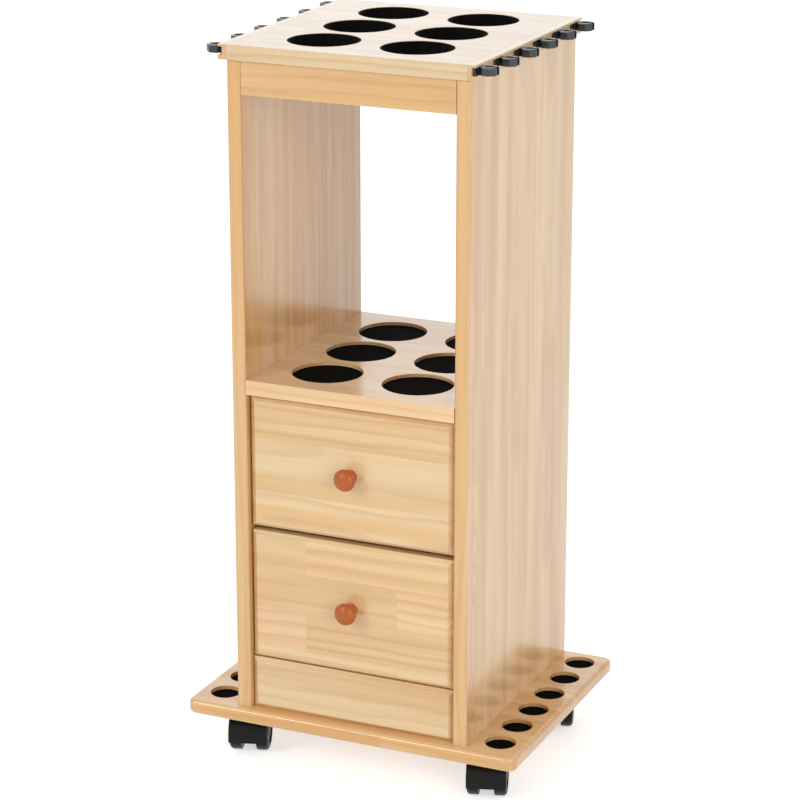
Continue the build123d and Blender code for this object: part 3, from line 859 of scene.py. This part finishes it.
@dataclass
class Linings:
    """Felt rings in the top holes and rubber pads in the rests."""

    dresser: Dresser
    pattern: Pattern
    ring_outer: float = 42.9 * MM
    ring_inner: float = 40.4 * MM
    lip: float = 0.8 * MM               # roundness of the felt's edges
    tube_pad_radius: float = 42.7 * MM
    butt_pad_radius: float = 18.5 * MM
    pad_edge: float = 0.5 * MM

    def build(self) -> None:
        """Build the rings and every pad."""
        self.rings()
        low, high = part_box("shelf_pads")
        places = self.pattern.tubes((low + high) / 2, self.pattern.rest_rows)
        self.pads("shelf_pad", "shelf_pads", places, self.tube_pad_radius)
        for side, _ in SIDES:
            node = f"{side}_butt_pads"
            self.pads(f"{side}_butt_pad", node, self.pattern.butts(node), self.butt_pad_radius)

    def rings(self) -> None:
        """One felt ring in each top hole, its edges soft."""
        low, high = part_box("top_hole_liners")
        height, lip = high.z - low.z, self.lip
        outline = (arc((self.ring_inner + lip, height - lip), (lip, lip), 180, 90, 4)
                   + arc((self.ring_outer - lip, height - lip), (lip, lip), 90, 0, 4)
                   + arc((self.ring_outer - lip, lip), (lip, lip), 0, -90, 4)
                   + arc((self.ring_inner + lip, lip), (lip, lip), -90, -180, 4))
        outline.append(outline[0])
        first = turned("felt_ring", outline, Vector((0, 0, low.z)), UP, 96)
        soften(first, 0, sharp=60)
        middle = (low + high) / 2
        middle.z = 0
        for number, centre in enumerate(self.pattern.tubes(middle, self.pattern.tube_rows), 1):
            ring = copy_to(first, f"tube_hole_felt_{number}", Matrix.Translation(centre))
            self.dresser.dress(ring, FELT, "top_hole_liners")
        bpy.data.objects.remove(first)

    def pads(self, name: str, node: str, places: list[Vector], radius: float) -> None:
        """A round pad at each place.

        Args:
            name: The pieces' name, before their number.
            node: The node that they stand for.
            places: Their centres.
            radius: Their radius.
        """
        low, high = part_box(node)
        thickness, edge = high.z - low.z, self.pad_edge
        outline = ([(0.0, 0.0), (radius, 0.0)]
                   + arc((radius - edge, thickness - edge), (edge, edge), 0, 90, 4)
                   + [(0.0, thickness)])
        first = turned("pad", outline, Vector((0, 0, low.z)), UP, 72)
        soften(first, 0)
        for number, centre in enumerate(places, 1):
            pad = copy_to(first, f"{name}_{number}", Matrix.Translation((centre.x, centre.y, 0)))
            self.dresser.dress(pad, RUBBER, node)
        bpy.data.objects.remove(first)


@dataclass
class RodClips:
    """The moulded clips in the end strips' grooves, in metres from the groove's floor."""

    dresser: Dresser
    pattern: Pattern
    count: int = 6                      # on each strip
    sides: int = 8                      # of the body round the bore
    across: float = 21.0 * MM           # the body's flats
    bore: float = 5.0 * MM              # radius
    mouth: float = 5.0 * MM
    flare: float = 6.5 * MM
    neck: float = 8.0 * MM
    foot: float = 24.0 * MM
    foot_depth: float = 3.0 * MM
    rim: float = 1.1 * MM               # slope round the body's upper and lower faces
    edge: float = 0.35 * MM

    def build(self) -> None:
        """Build one clip and copy it along both strips."""
        low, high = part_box("right_rod_clips")
        first = self.clip(high.x - low.x, high.z - low.z)
        pitch = (high.y - low.y - max(self.foot, self.across)) / (self.count - 1)
        for side, sign in SIDES:
            node = f"{side}_rod_clips"
            low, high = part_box(node)
            floor = low.x if sign > 0 else high.x
            turn = Matrix.Rotation(0 if sign > 0 else math.pi, 4, "Z")
            for number, y in enumerate(self.pattern.span(pitch, self.count), 1):
                place = Matrix.Translation((floor, (low.y + high.y) / 2 + y, low.z)) @ turn
                clip = copy_to(first, f"{side}_rod_clip_{number}", place)
                self.dresser.dress(clip, NYLON, node)
        bpy.data.objects.remove(first)

    def clip(self, reach: float, height: float) -> bpy.types.Object:
        """One clip along +X: an eight-sided ring, open outward, on a neck and a foot.

        Args:
            reach: From the groove's floor to the outer lips.
            height: The clip's height.

        Returns:
            The clip, its groove's floor at x = 0.
        """
        centre = reach - self.across / 2
        half_turn = math.pi / self.sides
        ring = drum("clip", (centre, 0, height / 2), self.across / 2 / math.cos(half_turn), height,
                    self.sides, half_turn)
        round_edges(ring, lambda middle, way: abs(way.z) < MOSTLY, self.rim, 2)
        neck = block("neck", Vector((0.0, -self.neck / 2, self.rim)),
                     Vector((centre, self.neck / 2, height - self.rim)))
        foot = block("foot", Vector((0.0, -self.foot / 2, 0.0)),
                     Vector((self.foot_depth, self.foot / 2, height)))
        combine(ring, [neck, foot], "UNION")
        mouth = block("mouth", Vector((centre, -self.mouth / 2, -MM)),
                      Vector((reach + MM, self.mouth / 2, height + MM)))
        with editing(mouth, "FACE") as mesh:
            for face in mesh.faces:
                face.select_set(face.normal.x > MOSTLY)
            bpy.ops.transform.resize(value=(1, self.flare / self.mouth, 1),
                                     center_override=(reach + MM, 0, height / 2))
        hole = drum("bore", (centre, 0, height / 2), self.bore, 2 * height, 40)
        combine(ring, [mouth, hole], "DIFFERENCE")
        return soften(ring, self.edge, 2, 30)


@dataclass(frozen=True)
class Border:
    """The sloped, mitred border of a drawer front or of the kick panel."""

    side: float = 7.0 * MM              # width at the ends
    long: float = 5.0 * MM              # width along the top and bottom
    depth: float = 5.0 * MM             # how far it falls back
    arris: float = 0.5 * MM

    def panel(self, name: str, node: str) -> bpy.types.Object:
        """A panel of a node's size whose front face has the border.

        Args:
            name: The piece's name.
            node: The node that gives its size.

        Returns:
            The piece, its edges broken.
        """
        low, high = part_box(node)
        panel = block(name, Vector((low.x, low.y + self.depth, low.z)), high)
        width, height = high.x - low.x, high.z - low.z
        shrink = (1 - 2 * self.side / width, 1, 1 - 2 * self.long / height)
        with editing(panel, "FACE") as mesh:
            for face in mesh.faces:
                face.select_set(face.normal.y < -MOSTLY)
            bpy.ops.mesh.extrude_region_move(TRANSFORM_OT_translate={"value": (0, -self.depth, 0)})
            bpy.ops.transform.resize(value=shrink, center_override=((low.x + high.x) / 2, low.y,
                                                                    (low.z + high.z) / 2))
        return soften(panel, self.arris, sharp=25)


@dataclass
class Drawer:
    """One drawer: its bevelled front, turned knob and box."""

    dresser: Dresser
    level: str
    front_finish: Pine
    knob_foot: float = 8.5 * MM         # the knob's radii: its foot, its neck and under its head
    knob_neck: float = 6.0 * MM
    knob_throat: float = 6.8 * MM
    knob_flat: float = 1.2 * MM         # places along the knob, from the drawer's front: the foot's rim
    cove_end: float = 1.8 * MM          # where the cove up to the neck begins
    neck_at: float = 7.5 * MM
    head_at: float = 10.0 * MM
    widest_at: float = 16.75 * MM

    def build(self) -> None:
        """Build the front and the knob, and finish the box."""
        node = f"{self.level}_drawer_front"
        self.dresser.dress(Border().panel(f"{self.level}_drawer_face", node), self.front_finish, node)
        self.knob()
        for side, _ in SIDES:
            self.dresser.paint(f"{self.level}_drawer_{side}_side", BOX_PINE)
            self.dresser.paint(f"{self.level}_{side}_runner", BEECH)
        self.dresser.paint(f"{self.level}_drawer_back", BOX_PINE)
        self.dresser.paint(f"{self.level}_drawer_bottom", PLYWOOD)
        self.dresser.paint(f"{self.level}_drawer_knob_screw", ZINC)

    def knob(self) -> None:
        """The turned knob: foot, cove, neck and round head."""
        node = f"{self.level}_drawer_knob"
        low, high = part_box(node)
        middle = (low + high) / 2
        radius, length = (high.z - low.z) / 2, high.y - low.y
        cove = (self.knob_foot - self.knob_neck, self.neck_at - self.cove_end)
        head = (radius - self.knob_throat, self.widest_at - self.head_at)
        outline = ([(0.0, 0.0), (self.knob_foot, 0.0), (self.knob_foot, self.knob_flat)]
                   + arc((self.knob_foot, self.neck_at), cove, -90, -180, 6)
                   + arc((self.knob_throat, self.widest_at), head, -90, 0, 8)
                   + arc((0.0, self.widest_at), (radius, length - self.widest_at), 4, 90, 12))
        knob = turned(f"{self.level}_knob", outline, Vector((0.0, high.y, middle.z)), Vector((0, -1, 0)))
        self.dresser.dress(soften(knob, 0, sharp=50), STAINED_BEECH, node)


@dataclass
class Caster:
    """One twin-wheel caster: plate, hood, axle and two wheels."""

    dresser: Dresser
    corner: str
    shoulder: float = 5.0 * MM
    rim: float = 3.0 * MM
    dish: float = 1.6 * MM
    boss: float = 7.5 * MM              # radius of the hub's cap
    boss_edge: float = 0.5 * MM         # roundness of the cap
    boss_gap: float = 0.6 * MM
    boss_sink: float = 0.7 * MM         # the cap's face lies this far inside the tyre's
    axle_radius: float = 3.08 * MM
    axle_cover: float = 4.0 * MM        # from the tyre's face to the axle's end
    hood_arris: float = 0.35 * MM
    plate_arris: float = 0.25 * MM

    def build(self) -> None:
        """Build the caster's pieces."""
        for part, arris, finish in (("hood", self.hood_arris, POLYPROPYLENE),
                                    ("plate", self.plate_arris, ZINC)):
            node = f"{self.corner}_caster_{part}"
            piece = soften(merged_copy(node, f"{self.corner}_{part}"), arris, sharp=50)
            self.dresser.dress(piece, finish, node)
        self.dresser.paint(f"{self.corner}_caster_axle", ZINC)
        for side, _ in SIDES:
            self.wheel(side)

    def wheel(self, side: str) -> None:
        """One wheel, with a rounded tread edge, a dished face and a hub cap."""
        node = f"{self.corner}_caster_{side}_wheel"
        joint = next(j for j in self.dresser.frame["joints"] if j["child"] == node)
        centre, axis = Vector(joint["pos_m"]), Vector(joint["axis"])
        low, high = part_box(node)
        way = axis if ((low + high) / 2 - centre).dot(axis) > 0 else -axis
        radius = (high.z - low.z) / 2
        inner, outer = self.reach(node, centre, way)
        cap = outer - self.boss_sink
        axle_end = outer - self.axle_cover
        tyre, edge = self.shoulder, self.boss_edge
        face = radius - tyre - self.rim
        outline = ([(self.axle_radius, inner), (radius - MM, inner), (radius, inner + MM)]
                   + arc((radius - tyre, outer - tyre), (tyre, tyre), 0, 90, 8)
                   + arc((face - self.dish, outer), (self.dish, self.dish), 0, -90, 4)
                   + [(self.boss + self.boss_gap, outer - self.dish)]
                   + arc((self.boss - edge, cap - edge), (edge, edge), 0, 90, 3)
                   + [(0.0, cap), (0.0, axle_end), (self.axle_radius, axle_end), (self.axle_radius, inner)])
        wheel = turned(f"{self.corner}_{side}_wheel", outline, centre, way)
        self.dresser.dress(soften(wheel, 0, sharp=35), POLYPROPYLENE, node)

    @staticmethod
    def reach(node: str, centre: Vector, way: Vector) -> tuple[float, float]:
        """How far a wheel's inner and outer faces lie from the caster's middle."""
        along = [(vertex.co - centre).dot(way) for vertex in bpy.data.objects[node].data.vertices]
        return min(along), max(along)


@dataclass
class Screws:
    """Countersunk cross-head screws in the base plate's underside and the caster plates."""

    dresser: Dresser
    head: float = 4.0 * MM              # radius
    shank: float = 2.0 * MM
    slot_width: float = 1.1 * MM
    slot_depth: float = 1.6 * MM
    plate_inset: float = 6.0 * MM
    end_margin: float = 45.0 * MM
    rim: float = 0.2 * MM               # broken edge of the head
    slot_share: float = 0.62            # the cross's reach, of the head's radius

    def build(self) -> None:
        """Build both groups."""
        low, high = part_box("caster_screws")
        places = []
        for corner in CORNERS:
            near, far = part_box(f"{corner}_caster_plate")
            inset = self.plate_inset
            places += [Vector((x, y, low.z)) for x in (near.x + inset, far.x - inset)
                       for y in (near.y + inset, far.y - inset)]
        self.group("caster_screw", "caster_screws", places, high.z - low.z)
        low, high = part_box("base_screws")
        panel_low, panel_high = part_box("left_side_panel")
        middle = (panel_low.y + panel_high.y) / 2
        reach = (panel_high.y - panel_low.y) / 2 - self.end_margin
        x = (panel_low.x + panel_high.x) / 2
        places = [Vector((side, middle + y, low.z)) for side in (x, -x) for y in (-reach, 0, reach)]
        self.group("base_screw", "base_screws", places, high.z - low.z)
        self.dresser.paint("runner_screws", ZINC)

    def group(self, name: str, node: str, places: list[Vector], length: float) -> None:
        """Copies of one screw, joined into one piece.

        Args:
            name: The piece's name.
            node: The node that it stands for.
            places: The middles of the heads' flat faces.
            length: The screws' length.
        """
        sink = self.head - self.shank
        outline = [(0.0, 0.0), (self.head - self.rim, 0.0), (self.head, self.rim), (self.shank, sink),
                   (self.shank, length - 2 * self.shank), (0.0, length)]
        first = turned("screw", outline, Vector(), UP, 28)
        long, narrow = self.head * self.slot_share, self.slot_width / 2
        bars = [block("slot", Vector((-x, -y, -MM)), Vector((x, y, self.slot_depth)))
                for x, y in ((long, narrow), (narrow, long))]
        combine(first, bars, "DIFFERENCE")
        soften(first, 0, sharp=30)
        copies = [copy_to(first, name, Matrix.Translation(place)) for place in places]
        bpy.data.objects.remove(first)
        piece = hold(*copies)
        bpy.ops.object.join()
        piece.name = f"{name}_heads"
        self.dresser.dress(piece, ZINC, node)


# ---------------------------------------------------------------- studio

@dataclass
class Studio:
    """Camera, floor, lamps and sky."""

    eye: Point = (1.3501, -3.0225, 1.5032)
    heading: float = 24.114             # degrees to the left of +Y
    tilt: float = -17.248               # degrees
    lens: float = 128.25                # millimetres
    sensor: float = 36.0
    shift: float = -0.03                # the photograph's framing, in widths
    floor_size: float = 40.0
    floor_paint: str = "#EFEFEF"
    floor_glow: float = 0.58            # brings the lit floor up to white for the camera
    sky_for_objects: float = 0.57
    aim: Point = (0.0, 0.0, 0.45)       # what the lamps face

    def camera(self) -> None:
        """The camera at the photograph's viewing angle."""
        camera = bpy.data.objects.new("camera", bpy.data.cameras.new("camera"))
        camera.data.lens = self.lens
        camera.data.sensor_width = self.sensor
        camera.data.shift_y = self.shift
        camera.location = self.eye
        camera.rotation_euler = (math.radians(90 + self.tilt), 0, math.radians(self.heading))
        bpy.context.scene.collection.objects.link(camera)
        bpy.context.scene.camera = camera

    def floor(self) -> None:
        """A wide pale floor that keeps the object's shadow."""
        deselect()
        bpy.ops.mesh.primitive_plane_add(size=self.floor_size, location=(0, 0, 0))
        floor = bpy.context.object
        floor.name = "floor"
        material, tree = blank("pale_floor")
        glow = add_node(tree, "Math", {0: self.seen(tree), 1: self.floor_glow}, operation="MULTIPLY")
        light = add_node(tree, "Emission", {"Strength": glow})
        paint = add_node(tree, "BsdfDiffuse", {"Color": linear(self.floor_paint)})
        both = add_node(tree, "AddShader", {0: paint, 1: light})
        add_node(tree, "OutputMaterial", {"Surface": both})
        floor.data.materials.append(material)

    @staticmethod
    def seen(tree: bpy.types.NodeTree) -> bpy.types.Node:
        """1 for rays from the camera or from a gloss or glass surface, otherwise 0."""
        rays = add_node(tree, "LightPath").outputs
        glossy = add_node(tree, "Math", {0: rays["Is Camera Ray"], 1: rays["Is Glossy Ray"]},
                          operation="MAXIMUM")
        return add_node(tree, "Math", {0: glossy, 1: rays["Is Transmission Ray"]}, operation="MAXIMUM")

    def sky(self) -> None:
        """White to the camera and to reflections, and dimmer as a light."""
        world = bpy.data.worlds.new("studio")
        world.use_nodes = True
        tree = world.node_tree
        tree.nodes.clear()
        strength = add_node(tree, "MapRange", {0: self.seen(tree), "To Min": self.sky_for_objects,
                                               "To Max": 1.0})
        sky = add_node(tree, "Background", {"Color": WHITE, "Strength": strength})
        add_node(tree, "OutputWorld", {"Surface": sky})
        bpy.context.scene.world = world

    def lamp(self, name: str, place: Point, power: float, size: float) -> None:
        """A soft square lamp that faces the object.

        Args:
            name: The lamp's name.
            place: Where it stands.
            power: Its watts.
            size: The length of its sides.
        """
        data = bpy.data.lights.new(name, "AREA")
        data.energy, data.size = power, size
        lamp = bpy.data.objects.new(name, data)
        lamp.location = place
        lamp.rotation_euler = (Vector(self.aim) - Vector(place)).to_track_quat("-Z", "Y").to_euler()
        bpy.context.scene.collection.objects.link(lamp)

    def build(self) -> None:
        """Set up everything but the object."""
        self.camera()
        self.floor()
        self.sky()
        self.lamp("key", (-1.5, -2.9, 2.0), power=33.0, size=1.1)
        self.lamp("fill", (2.5, -2.2, 1.2), power=36.0, size=1.8)
        self.lamp("backlight", (-1.75, 3.9, 2.15), power=15.0, size=3.4)
        bpy.context.scene.view_settings.view_transform = "Standard"


def main() -> None:
    """Build the studio, then each sub-assembly in order."""
    logging.basicConfig(level=logging.INFO, format="%(name)s: %(message)s")
    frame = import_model()
    Studio().build()
    dresser, pattern = Dresser(frame), Pattern()
    Carcass(dresser, pattern).build()
    dresser.dress(Border().panel("kick_board", "kick_panel"), KICK, "kick_panel")
    Linings(dresser, pattern).build()
    RodClips(dresser, pattern).build()
    Drawer(dresser, "lower", LOWER_FRONT).build()
    Drawer(dresser, "upper", UPPER_FRONT).build()
    for corner in CORNERS:
        Caster(dresser, corner).build()
    Screws(dresser).build()


if __name__ == "__main__":
    main()
